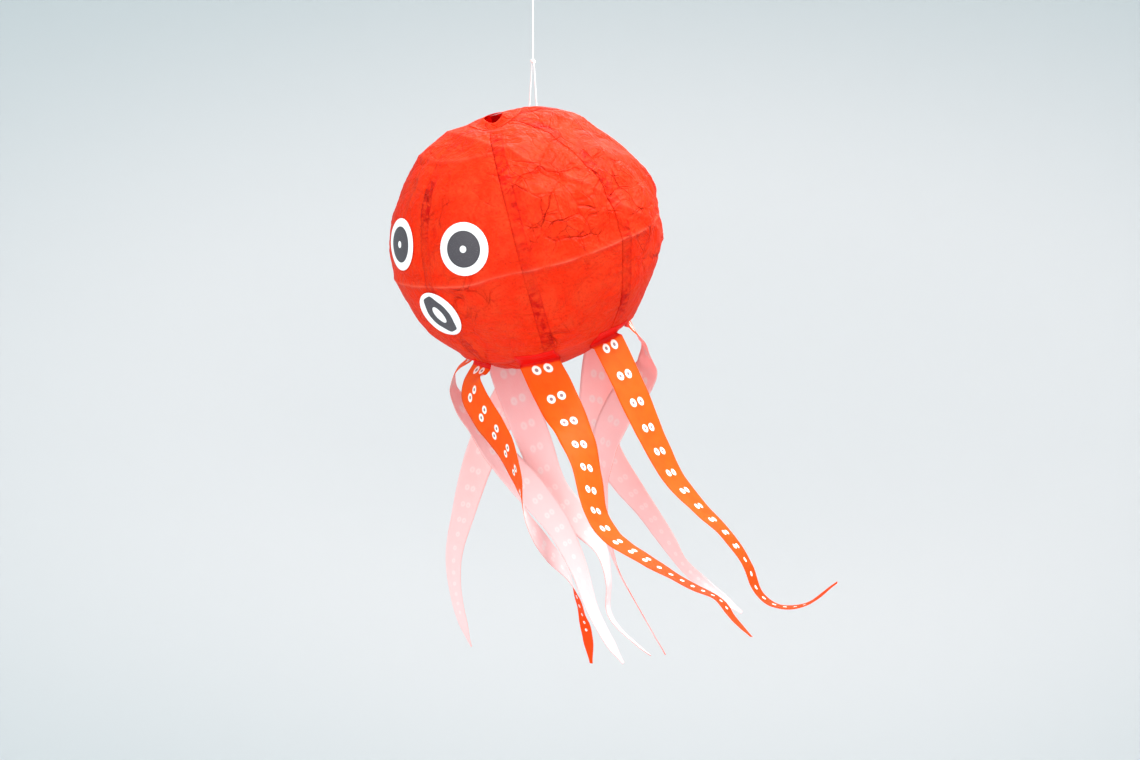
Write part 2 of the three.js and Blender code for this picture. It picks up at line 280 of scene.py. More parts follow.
def thread_tree():
    """Two plies that wind round each other along a path."""
    tree, given = geometry_tree("two_ply_thread", {
        "Path": "Geometry", "Diameter": "Float", "Ply Share": "Float", "Turn Length": "Float",
        "Thread": "Material"})
    path = given["Path"]
    line = path.node("GeometryNodeMeshToCurve", {}, {"Mesh": path})
    line = line.node("GeometryNodeCurveSplineType", {"spline_type": "POLY"}, {"Curve": line})
    line = line.node("GeometryNodeSetCurveNormal", {"mode": "MINIMUM_TWIST"}, {"Curve": line})
    along = line.node("GeometryNodeSplineParameter", {}, {}, "Length")
    tangent = line.node("GeometryNodeInputTangent")
    normal = line.node("GeometryNodeInputNormal")
    side = vector_math("CROSS_PRODUCT", tangent, normal)
    ply_radius = given["Diameter"] * given["Ply Share"] / 2
    orbit = given["Diameter"] / 2 - ply_radius
    profile = line.node("GeometryNodeCurvePrimitiveCircle", {"mode": "RADIUS"}, {
        "Resolution": 8, "Radius": ply_radius}, "Curve")
    joined = path.tree.nodes.new("GeometryNodeJoinGeometry")
    for phase in (0.0, pi):
        angle = along / given["Turn Length"] * (2 * pi) + phase
        offset = vector_math(
            "ADD",
            vector_math("SCALE", normal, angle.math("COSINE") * orbit),
            vector_math("SCALE", side, angle.math("SINE") * orbit))
        ply = line.node("GeometryNodeSetPosition", {}, {"Geometry": line, "Offset": offset})
        ply = ply.node("GeometryNodeCurveToMesh", {}, {
            "Curve": ply, "Profile Curve": profile, "Fill Caps": True})
        tree.links.new(ply.socket, joined.inputs[0])
    close_tree(Wire(tree, joined.outputs[0]), [(given["Thread"], None)])
    return tree


def cotton_material():
    made, start = new_material("cotton_thread")
    place = start.node("ShaderNodeTexCoord", {}, {}, "Object")
    fibre = noise(place, 5200.0, 3.0, 0.7)
    fluff = noise(place, 900.0)
    colour = mixed(smooth(fibre * 0.7 + fluff * 0.3, 0.3, 0.7), COTTON_SHADE, COTTON_LIGHT)
    finish_material(start, colour, COTTON_ROUGHNESS + fluff * 0.1, fibre, COTTON_BUMP,
                    specular=0.2, sheen=0.3)
    return made


COTTON = cotton_material()
THREAD_TREE = thread_tree()


def spun(name, points):
    """A twisted thread along a smooth path, with that path and its length."""
    path, length = smooth_path([Vector(p) for p in points], THREAD_POINT_SPACING)
    piece = grow(name, THREAD_TREE, {
        "Diameter": THREAD_DIAMETER, "Ply Share": PLY_SHARE, "Turn Length": PLY_TURN_LENGTH,
        "Thread": COTTON}, path_mesh(name, path))
    return piece, path, length


def overhand_knot(name, top):
    """A small overhand knot, drawn tight, whose three lobes surround the strands."""
    points = []
    for step in range(49):
        t = 2 * pi * step / 48
        reach = KNOT_RADIUS / 3.0
        points.append((reach * (sin(t) + 2 * sin(2 * t)), reach * (cos(t) - 2 * cos(2 * t)),
                       top - KNOT_HEIGHT / 2 - 0.3 * KNOT_HEIGHT * sin(3 * t)))
    return spun(name, points)[0]


def declare_thread(piece, body, node):
    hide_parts(node)
    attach(piece, body)


for knot_name, knot_top, knot_body in (("loop_knot", LOOP_KNOT_TOP, "hanger"),
                                       ("bridle_knot", BRIDLE_KNOT_TOP, "bridle")):
    knot = overhand_knot("thread_" + knot_name, knot_top)
    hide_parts(knot_name)
    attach(knot, knot_body)

strand_side = (THREAD_DIAMETER + STRAND_GAP) / 2
loop_side = [(-strand_side, LOOP_KNOT_TOP - 0.0006), *LOOP_SIDE]
loop_points = [(x, 0.0, z) for x, z in loop_side] + [(0.0, 0.0, THREAD_DIAMETER / 2)]
loop_points += [(-x, 0.0, z) for x, z in reversed(loop_side)]
loop, loop_path, loop_length = spun("thread_hang_loop", loop_points)
declare_thread(loop, "hanger", "hang_loop")

line_top = LOOP_KNOT_TOP - KNOT_HEIGHT * 0.6
line_bottom = BRIDLE_KNOT_TOP - KNOT_HEIGHT * 0.3
line_points = [(0.0, 0.0, line_top + (line_bottom - line_top) * share / 8) for share in range(9)]
line, line_path, line_length = spun("thread_line", line_points)
declare_thread(line, "line", "hang_line")


# ---- Balloon ----
# Eight gores of thin red glassine paper, glued edge over edge by a narrow lap, and blown up
# through a hole at the top. The paper is crumpled from being folded flat in its packet.

BALLOON_RADIUS = 0.080
CROWN_HEIGHT = 0.074
BASE_DEPTH = 0.079
LEAN_LEFT = radians(14.5)
LEAN_FORWARD = radians(16.0)
GORE_COUNT = 8
POLE_RING_RADIUS = 0.008
FACE_AZIMUTH = -46.5
LAP_WIDTH = 0.0065
LAP_DROP = 0.00032
PAPER_THICKNESS = 0.00014
THREAD_HOLE_HEIGHT = -0.081
THREAD_HOLE_AZIMUTH = 133.5
THREAD_HOLE_LATITUDE = 66.0
EYE_RADIUS = 0.0148
LEFT_EYE_SPREAD = 18.0
LEFT_EYE_LATITUDE = 15.6
RIGHT_EYE_SPREAD = 20.5
RIGHT_EYE_LATITUDE = 12.4
MOUTH_RADIUS = 0.0148
MOUTH_SPREAD = 2.0
MOUTH_LATITUDE = -15.8
# Each fold from the packet lies in a plane: the azimuth and latitude that the plane faces, its
# distance from the balloon's middle, and how strongly the colour is lightened along the fold and
# darkened with painted shade beside it.
EQUATOR_FOLD = (0.0, 90.0, -0.0035, 1.0)
SLANTING_FOLD = (110.5, 46.4, 0.0340, 0.4)
CROWN_FOLD = (0.0, 90.0, 0.0602, 0.3)
BASE_FOLD = (0.0, 90.0, -0.0580, 0.4)
FOLDS = (EQUATOR_FOLD, SLANTING_FOLD, CROWN_FOLD, BASE_FOLD)
CRUMPLED_PLACES = ((12.0, 60.0), (38.0, 20.0))
# The paper has sagged in front of the blow hole, and lies lower towards both poles.
SAG_PLACE = (-8.0, 82.0)
SAG_DEPTH = 0.0052
SAG_REACH = 0.0085
POLE_SHRINK = 0.0012
CRUMPLE_DEPTH = 0.0034
FOLD_DEPTH = 0.0017
FOLD_REACH = 0.0085
PUCKER_DEPTH = 0.0019
PUCKER_REACH = 0.0085
SEAM_DRAW = 0.00045
SEAM_DRAW_REACH = 0.006
LAP_SHIFT = 0.6
STAR_REACHES = (0.011, 0.017)
STICKER_CLEAR = (0.022, 0.012)
WARP_SCALE = 55.0
WARP_REACH = 0.014
FOLD_STRAY = 0.0055
COARSE_CRUMPLE, MIDDLE_CRUMPLE, FINE_CRUMPLE = 27.0, 48.0, 105.0
UNEVEN_SCALE = 17.0
GORE_COLUMNS, GORE_ROWS = 66, 220


def balloon_point(azimuth, latitude, offset=0.0):
    """A point of the skin in the balloon's own upright frame, azimuth from -Y towards +X."""
    a, l = radians(azimuth), radians(latitude)
    polar = CROWN_HEIGHT if latitude > 0 else BASE_DEPTH
    ring = (BALLOON_RADIUS + offset) * cos(l)
    return Vector((ring * sin(a), -ring * cos(a), (polar + offset) * sin(l)))


def facing(azimuth, latitude):
    """The direction straight out of a ball at a place, in the balloon's own frame."""
    a, l = radians(azimuth), radians(latitude)
    return Vector((cos(l) * sin(a), -cos(l) * cos(a), sin(l)))


lean = Matrix.Rotation(-LEAN_LEFT, 4, "Y") @ Matrix.Rotation(LEAN_FORWARD, 4, "X")
hole_middle = lean @ balloon_point(THREAD_HOLE_AZIMUTH, THREAD_HOLE_LATITUDE)
balloon_place = Matrix.Translation(Vector((0, 0, THREAD_HOLE_HEIGHT)) - hole_middle) @ lean

STICKER_PLACES = {
    "eye_left": (FACE_AZIMUTH - LEFT_EYE_SPREAD, LEFT_EYE_LATITUDE, EYE_RADIUS),
    "eye_right": (FACE_AZIMUTH + RIGHT_EYE_SPREAD, RIGHT_EYE_LATITUDE, EYE_RADIUS),
    "mouth": (FACE_AZIMUTH - MOUTH_SPREAD, MOUTH_LATITUDE, MOUTH_RADIUS),
}


def fade(wire, reach):
    """1 at 0, falling off evenly with distance: e to the power of -wire / reach."""
    return (-(abs(wire) / reach)).math("EXPONENT")


def combine(x, y, z):
    start = next(term for term in (x, y, z) if isinstance(term, Wire))
    return start.node("ShaderNodeCombineXYZ", {}, {"X": x, "Y": y, "Z": z})


def split(vector):
    x = vector.node("ShaderNodeSeparateXYZ", {}, {"Vector": vector})
    return x, x.sibling(1), x.sibling(2)


def shifted(place, direction, distance):
    """A place moved some way along a direction."""
    return vector_math("ADD", place, vector_math("SCALE", direction, distance))


def unit_grid(start, columns, rows):
    return start.node("GeometryNodeMeshGrid", {}, {
        "Size X": 1.0, "Size Y": 1.0, "Vertices X": columns, "Vertices Y": rows}, "Mesh")


def kept_on(sheet, name, kind, domain, value):
    """The sheet with a value stored on it under a name, for its material."""
    return sheet.node("GeometryNodeStoreNamedAttribute", {"data_type": kind, "domain": domain}, {
        "Geometry": sheet, "Name": name, "Value": value})


def warped(place):
    """The place on the skin, shifted a little by noise, so that creases don't run straight."""
    shift = noise(place, WARP_SCALE, 1.0).sibling("Color")
    return shifted(place, vector_math("SUBTRACT", shift, (0.5, 0.5, 0.5)), WARP_REACH)


def from_fold(place, fold):
    """The distance of a place on the skin from a fold, which strays a little from its plane."""
    azimuth, latitude, distance, _ = fold
    stray = (noise(place, 30.0) - 0.5) * FOLD_STRAY
    return vector_math("DOT_PRODUCT", place, facing(azimuth, latitude)) - distance + stray


def sagged(place, middle, depth):
    """How far the paper has sagged at a place near the sag's middle."""
    away = vector_math("DISTANCE", place, middle) / SAG_REACH
    return (-(away * away)).math("EXPONENT") * depth


def cells(place, scale, feature="F1"):
    return place.node("ShaderNodeTexVoronoi", {"feature": feature}, {"Vector": place, "Scale": scale})


def gore_tree():
    """One gore: a grid bent over the balloon, with its lap, its folds, and its crumpled skin."""
    tree, given = geometry_tree("paper_gore", {
        "Seam Azimuth": "Float", "Seam Number": "Float", "Gore Angle": "Float",
        "Equator Radius": "Float", "Crown Height": "Float", "Base Depth": "Float",
        "Pole Latitude": "Float", "Lap Width": "Float", "Lap Drop": "Float",
        "Paper Thickness": "Float", "Crumple Depth": "Float", "Fold Depth": "Float",
        "Pucker Depth": "Float", "Shrink": "Float", "Sag Place": "Vector", "Sag Depth": "Float",
        "Left Eye": "Vector", "Right Eye": "Vector", "Mouth": "Vector",
        "First Crumple": "Vector", "Second Crumple": "Vector", "Paper": "Material"})
    radius = given["Equator Radius"]
    sheet = unit_grid(radius, GORE_COLUMNS, GORE_ROWS)
    flat_x, flat_y, _ = split(sheet.node("GeometryNodeInputPosition"))
    share = flat_x + 0.5
    latitude = flat_y * 2.0 * given["Pole Latitude"]
    ring = radius * latitude.math("COSINE")
    lap = given["Lap Width"] * (smooth(ring, POLE_RING_RADIUS, 0.034) * 0.75 + 0.25)
    east = share * (given["Gore Angle"] * ring + lap)
    beyond = east - given["Gore Angle"] * ring
    azimuth = given["Seam Azimuth"] + (east - lap * LAP_SHIFT) / ring
    polar = given["Base Depth"] + (latitude > 0.0) * (given["Crown Height"] - given["Base Depth"])
    upright = combine(ring * azimuth.math("SINE"), -(ring * azimuth.math("COSINE")),
                      polar * latitude.math("SINE"))
    square = radius * radius
    outward = vector_math("NORMALIZE", vector_math(
        "DIVIDE", upright, combine(square, square, polar * polar)))

    # Near a seam the paper is drawn in and puckers across it, alike on both gores.
    is_east = share > 0.5
    from_seam = east + is_east * (beyond - east)
    seam = (given["Seam Number"] + is_east).math("MODULO", float(GORE_COUNT))
    up = latitude * radius
    open_width = smooth(ring, 0.006, 0.045)
    pucker = noise(combine(from_seam * 60.0, up * 330.0, seam * 7.31), 1.0, 2.0) - 0.5
    pucker = pucker * fade(from_seam, PUCKER_REACH) * given["Pucker Depth"] * (open_width * 0.7 + 0.3)
    drawn_in = fade(from_seam, SEAM_DRAW_REACH) * SEAM_DRAW * open_width

    # Folds from the packet run round the balloon, with flatter paper between them.
    folds = 0.0
    for fold in FOLDS:
        away = from_fold(upright, fold)
        folds = fade(away, FOLD_REACH) * 0.65 + fade(away, 0.0022) * 0.35 + folds
    folds = (folds - 0.45) * given["Fold Depth"]

    # Crumples: sharp ridges and sharp valleys between bent facets, more in some places.
    loose = warped(upright)
    coarse = cells(loose, COARSE_CRUMPLE)
    middle = cells(loose, MIDDLE_CRUMPLE)
    fine = cells(loose, FINE_CRUMPLE)
    starred = 0.0
    for crumpled, reach in zip(("First Crumple", "Second Crumple"), STAR_REACHES):
        starred = fade(vector_math("DISTANCE", upright, given[crumpled]), reach) + starred
    uneven = smooth(noise(upright, UNEVEN_SCALE, 1.0), 0.38, 0.66) * 0.75 + 0.25
    crumple = coarse * coarse * 1.3 - middle * middle * 0.95
    crumple = crumple + (fine * fine - 0.2) * (uneven * 0.3 + starred * 0.9)
    crumple = (crumple - 0.1) * given["Crumple Depth"] * uneven
    swell = (noise(upright, 20.0, 1.0) - 0.5) * given["Crumple Depth"] * 1.6

    stuck = 0.0
    for sticker in ("Left Eye", "Right Eye", "Mouth"):
        stuck = smooth(vector_math("DISTANCE", upright, given[sticker]), *STICKER_CLEAR) + stuck
    free = 1.0 - stuck * 0.8
    rise = (pucker + folds + crumple + swell) * free - drawn_in
    rise = rise - given["Lap Drop"] * smooth(beyond, -0.0011, 0.0003)
    rise = rise - given["Shrink"] * abs(flat_y * 2.0)
    rise = rise - sagged(upright, given["Sag Place"], given["Sag Depth"])

    sheet = kept_on(sheet, "paper_place", "FLOAT_VECTOR", "POINT", upright)
    sheet = kept_on(sheet, "UVMap", "FLOAT2", "CORNER", combine(east / lap, up, 0.0))
    sheet = sheet.node("GeometryNodeSetPosition", {}, {
        "Geometry": sheet, "Position": shifted(upright, outward, rise)})
    close_tree(thickened(sheet, given["Paper Thickness"]), [(given["Paper"], None)])
    return tree


def thickened(sheet, thickness, name=None):
    """A closed thin sheet: the outer face moved out by the thickness, the inner face turned over.
    The outer side and the rim get the named mark."""
    outer = sheet.node("GeometryNodeExtrudeMesh", {"mode": "FACES"}, {
        "Mesh": sheet, "Offset Scale": thickness, "Individual": False}, "Mesh")
    if name:
        outer = kept_on(outer, name, "BOOLEAN", "FACE", True)
    inner = sheet.node("GeometryNodeFlipFaces", {}, {"Mesh": sheet})
    joined = sheet.tree.nodes.new("GeometryNodeJoinGeometry")
    sheet.tree.links.new(outer.socket, joined.inputs[0])
    sheet.tree.links.new(inner.socket, joined.inputs[0])
    whole = Wire(sheet.tree, joined.outputs[0])
    return whole.node("GeometryNodeMergeByDistance", {}, {"Geometry": whole, "Distance": 0.000001})


RED_BRIGHT = (0.95, 0.033, 0.003)
RED_CLOUDED = (0.93, 0.058, 0.012)
# RED_DEEP is the paper's darker grain, and also the painted shade in creases, beside folds and in and
# near the doubled laps.
RED_DEEP = (0.61, 0.003, 0.002)
RED_FOLD_LINE = (1.00, 0.150, 0.080)
RED_LIT = (0.94, 0.043, 0.006)
RED_LIT_SHARE = 0.36
PAPER_ROUGHNESS = 0.40
PAPER_BUMP = 0.0013
CLOUD_SCALE = 95.0
GRAIN_SCALE = 900.0
FOLD_LINE_REACH = 0.0006
SHADE_REACH = 0.0016
# Each size of crumple, with the reach and the strength of the painted shade along its creases.
CREASE_SHADES = ((COARSE_CRUMPLE, 0.028, 0.5), (MIDDLE_CRUMPLE, 0.035, 0.6), (FINE_CRUMPLE, 0.05, 0.35))


def creased(place, size, reach):
    """1 along the edges between the crumples of a size, and 0 past the reach."""
    return smooth(cells(place, size, "DISTANCE_TO_EDGE"), reach, 0.0)


def streaks(place, stretch, low, high, roughness=0.5):
    """Streaks of noise, drawn out by a different scale on each axis."""
    return smooth(noise(vector_math("MULTIPLY", place, stretch), 1.0, 3.0, roughness), low, high)


def red_paper_material(name, doubled):
    """Red glassine: cloudy and fibrous, with painted shade in its creases, beside its folds and where
    two layers lie together, and a lighter line along each fold.
    """
    made, start = new_material(name)
    place = start.node("ShaderNodeAttribute", {"attribute_name": "paper_place"}, {}, "Vector")
    loose = warped(place)
    cloud = noise(place, CLOUD_SCALE, 5.0, 0.62)
    grain = noise(place, GRAIN_SCALE, 3.0, 0.6)
    fibre = noise(vector_math("MULTIPLY", loose, (420.0, 420.0, 1500.0)), 1.0, 3.0, 0.6)
    uneven = smooth(noise(place, UNEVEN_SCALE, 1.0), 0.38, 0.66)
    creases = 0.0
    for size, reach, strength in CREASE_SHADES:
        creases = creased(loose, size, reach) * strength + creases
    creases = creases * (uneven * 0.8 + 0.2)
    starred = 0.0
    for crumpled_place in CRUMPLED_PLACES:
        middle = tuple(balloon_point(*crumpled_place))
        starred = fade(vector_math("DISTANCE", place, middle), STAR_REACHES[0]) + starred
    if doubled:
        creases = creases + creased(loose, MIDDLE_CRUMPLE, 0.03) * starred
    broken = smooth(noise(place, 75.0, 3.0), 0.42, 0.62)
    creases = creases * (broken * 0.85 + 0.15)
    colour = mixed(smooth(cloud * 0.8 + grain * 0.2, 0.36, 0.66), RED_BRIGHT, RED_CLOUDED)
    colour = mixed(smooth(fibre, 0.55, 0.8) * 0.35, colour, RED_CLOUDED)
    colour = mixed(smooth(grain, 0.46, 0.30) * 0.45, colour, RED_DEEP)
    # Painted shade: the creases between the crumples are darkened towards the deep red.
    colour = mixed(creases * 0.6, colour, RED_DEEP)
    if doubled:
        fold_lightened, shaded = 0.0, 0.0
        for fold in FOLDS:
            away = from_fold(place, fold)
            fold_lightened = fade(away, FOLD_LINE_REACH) * fold[3] + fold_lightened
            shaded = smooth(away, 0.0004, -0.0008) * fade(away, SHADE_REACH) * fold[3] + shaded
        patchy = smooth(noise(place, 60.0), 0.36, 0.56)
        # Painted shade on one side of each fold, and a lighter line along the fold itself.
        colour = mixed(shaded * patchy * 0.7, colour, RED_DEEP)
        colour = mixed(fold_lightened * (patchy * 0.6 + 0.3), colour, RED_FOLD_LINE)
        # Painted shade where two layers lie together: less light comes through the lap, so it is
        # darkened in wrinkled streaks. The lap's edges and streaks near it are darkened as well.
        lap_share = split(start.node("ShaderNodeUVMap", {"uv_map": "UVMap"}))[0]
        lap_share = lap_share + (noise(place, 240.0) - 0.5) * 0.12
        double = smooth(lap_share, 1.03, 0.97) * smooth(lap_share, -0.02, 0.02)
        wrinkle = streaks(loose, (150.0, 150.0, 420.0), 0.42, 0.62)
        parted = smooth(noise(place, 34.0), 0.40, 0.58)
        colour = mixed(double * (wrinkle * 0.7 * parted + 0.06), colour, RED_DEEP)
        edge = (fade(lap_share, 0.045) + fade(lap_share - 1.0, 0.035)) * (parted * 0.8 + 0.08)
        colour = mixed(edge, colour, RED_DEEP)
        near_lap = fade(lap_share - 0.5, 1.3)
        streak = streaks(loose, (260.0, 260.0, 95.0), 0.56, 0.66, 0.6)
        colour = mixed(streak * near_lap * parted * 0.9, colour, RED_DEEP)
    height = cells(loose, 210.0) * 0.5 + cells(loose, 420.0) * 0.25
    height = height + grain * 0.12 + fibre * 0.2 - creases
    finish_material(start, colour, PAPER_ROUGHNESS + cloud * 0.16, height, PAPER_BUMP,
                    specular=0.1, glow=RED_LIT, through=RED_LIT_SHARE)
    return made


GORE_PAPER = red_paper_material("red_paper", True)
GORE_TREE = gore_tree()
gore_angle = 2 * pi / GORE_COUNT
pole_latitude = acos(POLE_RING_RADIUS / BALLOON_RADIUS)


gores = []
for number in range(GORE_COUNT):
    gore = grow(f"gore_sheet_{number + 1}", GORE_TREE, {
        "Seam Azimuth": radians(FACE_AZIMUTH) + number * gore_angle, "Seam Number": float(number),
        "Gore Angle": gore_angle, "Equator Radius": BALLOON_RADIUS, "Crown Height": CROWN_HEIGHT,
        "Base Depth": BASE_DEPTH, "Pole Latitude": pole_latitude, "Lap Width": LAP_WIDTH,
        "Lap Drop": LAP_DROP, "Paper Thickness": PAPER_THICKNESS, "Crumple Depth": CRUMPLE_DEPTH,
        "Fold Depth": FOLD_DEPTH, "Pucker Depth": PUCKER_DEPTH, "Shrink": POLE_SHRINK,
        "Sag Place": balloon_point(*SAG_PLACE), "Sag Depth": SAG_DEPTH,
        "Left Eye": balloon_point(*STICKER_PLACES["eye_left"][:2]),
        "Right Eye": balloon_point(*STICKER_PLACES["eye_right"][:2]),
        "Mouth": balloon_point(*STICKER_PLACES["mouth"][:2]),
        "First Crumple": balloon_point(*CRUMPLED_PLACES[0]),
        "Second Crumple": balloon_point(*CRUMPLED_PLACES[1]),
        "Paper": GORE_PAPER,
    }, place=balloon_place)
    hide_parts(f"gore_{number + 1}")
    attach(gore, "balloon")
    gores.append(gore)


# ---- Bridle ----
# The bridle is the lower end of the cotton thread. It runs straight from its knot to one hole,
# round under the paper, and back up through the other hole.

THREAD_HOLE_SPACING = 0.0062
BRIDLE_DROP = 0.0005
BRIDLE_STEPS = 6

hole_ring = BALLOON_RADIUS * cos(radians(THREAD_HOLE_LATITUDE))
hole_step = asin(THREAD_HOLE_SPACING / 2 / hole_ring) * 180 / pi
holes = [balloon_place @ balloon_point(THREAD_HOLE_AZIMUTH + side * hole_step, THREAD_HOLE_LATITUDE)
         for side in (-1, 1)]
sideways = (holes[1] - holes[0]) * Vector((1, 1, 0))
sideways.normalize()
turn_radius = THREAD_HOLE_SPACING / 2
turn_height = THREAD_HOLE_HEIGHT - BRIDLE_DROP
bridle_top = BRIDLE_KNOT_TOP - KNOT_HEIGHT * 0.7
bridle_side = [(-strand_side + (strand_side - turn_radius) * share / BRIDLE_STEPS,
                bridle_top + (turn_height - bridle_top) * share / BRIDLE_STEPS)
               for share in range(BRIDLE_STEPS + 1)]
bridle_side += [(-turn_radius * cos(angle), turn_height - turn_radius * sin(angle))
                for angle in (radians(22.5), radians(45.0), radians(67.5))]
bridle_points = [sideways * side + Vector((0, 0, height)) for side, height in bridle_side]
bridle_points += [Vector((0, 0, turn_height - turn_radius))]
bridle_points += [sideways * -side + Vector((0, 0, height)) for side, height in reversed(bridle_side)]
bridle, bridle_path, bridle_length = spun("thread_bridle", bridle_points)
declare_thread(bridle, "bridle", "bridle_thread")


# ---- Face stickers and end patches ----
# Three round printed paper stickers make the face. Two round red patches close the ends of the
# balloon, and the upper one has the blow hole in its middle. All are glued flat on the skin.

TOP_PATCH_RADIUS = 0.015
BASE_PATCH_RADIUS = 0.017
BLOW_HOLE_RADIUS = 0.0055
STICKER_THICKNESS = 0.00018
STICKER_LIFT = 0.00022
DROP_HEIGHT = 0.006
DROP_REACH = 0.02
DISC_SIDES = 96
DISC_RINGS = 19
STICKER_WHITE = (0.90, 0.89, 0.88)
STICKER_AGED = (0.86, 0.87, 0.88)
STICKER_INK = (0.075, 0.069, 0.078)
STICKER_INK_EDGE = (0.055, 0.049, 0.058)
INK_SHARE = 0.69
GLINT_SHARE = 0.135
# Shares of the mouth sticker's radius: the dark shape's half length and half heights, and the oval.
MOUTH_TURN = radians(-70.0)
MOUTH_HALF_LENGTH = 0.83 * MOUTH_RADIUS
MOUTH_END_HEIGHT = 0.36 * MOUTH_RADIUS
MOUTH_MIDDLE_RISE = 0.24 * MOUTH_RADIUS
OVAL_HALF_LENGTH = 0.38 * MOUTH_RADIUS
OVAL_HALF_HEIGHT = 0.24 * MOUTH_RADIUS
INK_SOFTNESS = 0.00012
INK_SPECK = 0.00016
INK_WAVER = 0.0001
STICKER_ROUGHNESS = 0.5
STICKER_BUMP = 0.00008


def joined_skin():
    """One mesh of all the gores, to lay other pieces on."""
    points, faces = [], []
    for gore in gores:
        start = len(points)
        points += [vertex.co.copy() for vertex in gore.data.vertices]
        faces += [[start + i for i in polygon.vertices] for polygon in gore.data.polygons]
    mesh = bpy.data.meshes.new("skin")
    mesh.from_pydata(points, [], faces)
    return put("skin", mesh)


skin = joined_skin()


def dropped(place, out, reach, skin):
    """Whether a place, dropped against the outward direction, meets the skin within the reach."""
    target = place.node("GeometryNodeObjectInfo", {}, {"Object": skin}, "Geometry")
    return place.node("GeometryNodeRaycast", {}, {
        "Target Geometry": target, "Source Position": place,
        "Ray Direction": vector_math("SCALE", out, -1.0), "Ray Length": reach}, "Is Hit")


def disc_tree():
    """A paper disc or ring, dropped on the skin along its own middle line."""
    tree, given = geometry_tree("disc_on_skin", {
        "Middle": "Vector", "East": "Vector", "North": "Vector", "Out": "Vector",
        "Inner Radius": "Float", "Outer Radius": "Float", "Skin Bend": "Float", "Lift": "Float",
        "Shrink": "Float", "Sag Place": "Vector", "Sag Depth": "Float",
        "Paper Thickness": "Float", "Skin": "Object", "Paper": "Material"})
    start = given["Outer Radius"]
    disc = unit_grid(start, DISC_SIDES + 1, DISC_RINGS)
    turn, out_share, _ = split(disc.node("GeometryNodeInputPosition"))
    reach = given["Inner Radius"] + (out_share + 0.5) * (start - given["Inner Radius"])
    angle = -(turn + 0.5) * (2 * pi)
    flat = combine(reach * angle.math("COSINE"), reach * angle.math("SINE"), 0.0)
    disc = kept_on(disc, "UVMap", "FLOAT2", "CORNER", flat)
    disc = disc.node("GeometryNodeSetPosition", {}, {"Geometry": disc, "Position": flat})
    disc = disc.node("GeometryNodeMergeByDistance", {}, {"Geometry": disc, "Distance": 0.00001})
    x, y, _ = split(disc.node("GeometryNodeInputPosition"))
    high = shifted(shifted(given["Middle"], given["East"], x), given["North"], y)
    sag = sagged(high, given["Sag Place"], given["Sag Depth"])
    high = shifted(high, given["Out"], DROP_HEIGHT)
    hit = dropped(high, given["Out"], DROP_REACH, given["Skin"])
    expected = (x * x + y * y) * given["Skin Bend"] + DROP_HEIGHT + given["Shrink"] + sag
    drop = expected + hit * (hit.sibling("Hit Distance") - expected)
    drop = drop.node("GeometryNodeBlurAttribute", {"data_type": "FLOAT"}, {
        0: drop, "Iterations": 10}) - given["Lift"]
    laid = vector_math("SUBTRACT", high, vector_math("SCALE", given["Out"], drop))
    disc = kept_on(disc, "paper_place", "FLOAT_VECTOR", "POINT", laid)
    disc = disc.node("GeometryNodeSetPosition", {}, {"Geometry": disc, "Position": laid})
    close_tree(thickened(disc, given["Paper Thickness"]), [(given["Paper"], None)])
    return tree


DISC_TREE = disc_tree()


def laid_disc(name, azimuth, latitude, inner, outer, paper):
    """A disc glued on the skin at a place of the balloon, its own up pointing north there."""
    middle = balloon_place @ balloon_point(azimuth, latitude)
    turned = balloon_place.to_3x3()
    out = turned @ facing(azimuth, latitude)
    east = turned @ Vector((cos(radians(azimuth)), sin(radians(azimuth)), 0.0))
    bend = 0.5 / BALLOON_RADIUS
    return grow(name, DISC_TREE, {
        "Middle": middle, "East": east, "North": out.cross(east), "Out": out,
        "Inner Radius": inner, "Outer Radius": outer, "Skin Bend": bend, "Shrink": POLE_SHRINK,
        "Sag Place": balloon_place @ balloon_point(*SAG_PLACE), "Sag Depth": SAG_DEPTH,
        "Lift": STICKER_LIFT, "Paper Thickness": STICKER_THICKNESS, "Skin": skin, "Paper": paper})


def sticker_material(name, ink_mask):
    """White coated paper with a dark printed shape. ink_mask gives the shape and its darker rim."""
    made, start = new_material(name)
    flat = start.node("ShaderNodeUVMap", {"uv_map": "UVMap"})
    cloud = noise(flat, 160.0, 4.0)
    speck = noise(flat, 2600.0)
    rough_edge = (speck - 0.5) * INK_SPECK + (cloud - 0.5) * INK_WAVER
    ink, rim = ink_mask(flat, rough_edge)
    colour = mixed(smooth(cloud, 0.35, 0.75), STICKER_WHITE, STICKER_AGED)
    printed = mixed(smooth(speck, 0.62, 0.8) * 0.3, STICKER_INK, STICKER_AGED)
    printed = mixed(rim, printed, STICKER_INK_EDGE)
    colour = mixed(ink, colour, printed)
    finish_material(start, colour, STICKER_ROUGHNESS - ink * 0.12 + cloud * 0.1,
                    speck * 0.3 + cloud, STICKER_BUMP, specular=0.15)
    return made


def eye_ink(flat, rough_edge):
    """A dark disc with a white glint in its middle, and a darker edge."""
    reach = vector_math("LENGTH", flat) + rough_edge
    edge = INK_SHARE * EYE_RADIUS
    glint = GLINT_SHARE * EYE_RADIUS
    disc = smooth(reach, edge + INK_SOFTNESS, edge - INK_SOFTNESS)
    hole = smooth(reach, glint - INK_SOFTNESS, glint + INK_SOFTNESS)
    rim = smooth(reach, edge - 0.0009, edge - 0.0002) + smooth(reach, glint + 0.0006, glint)
    return disc * hole, rim


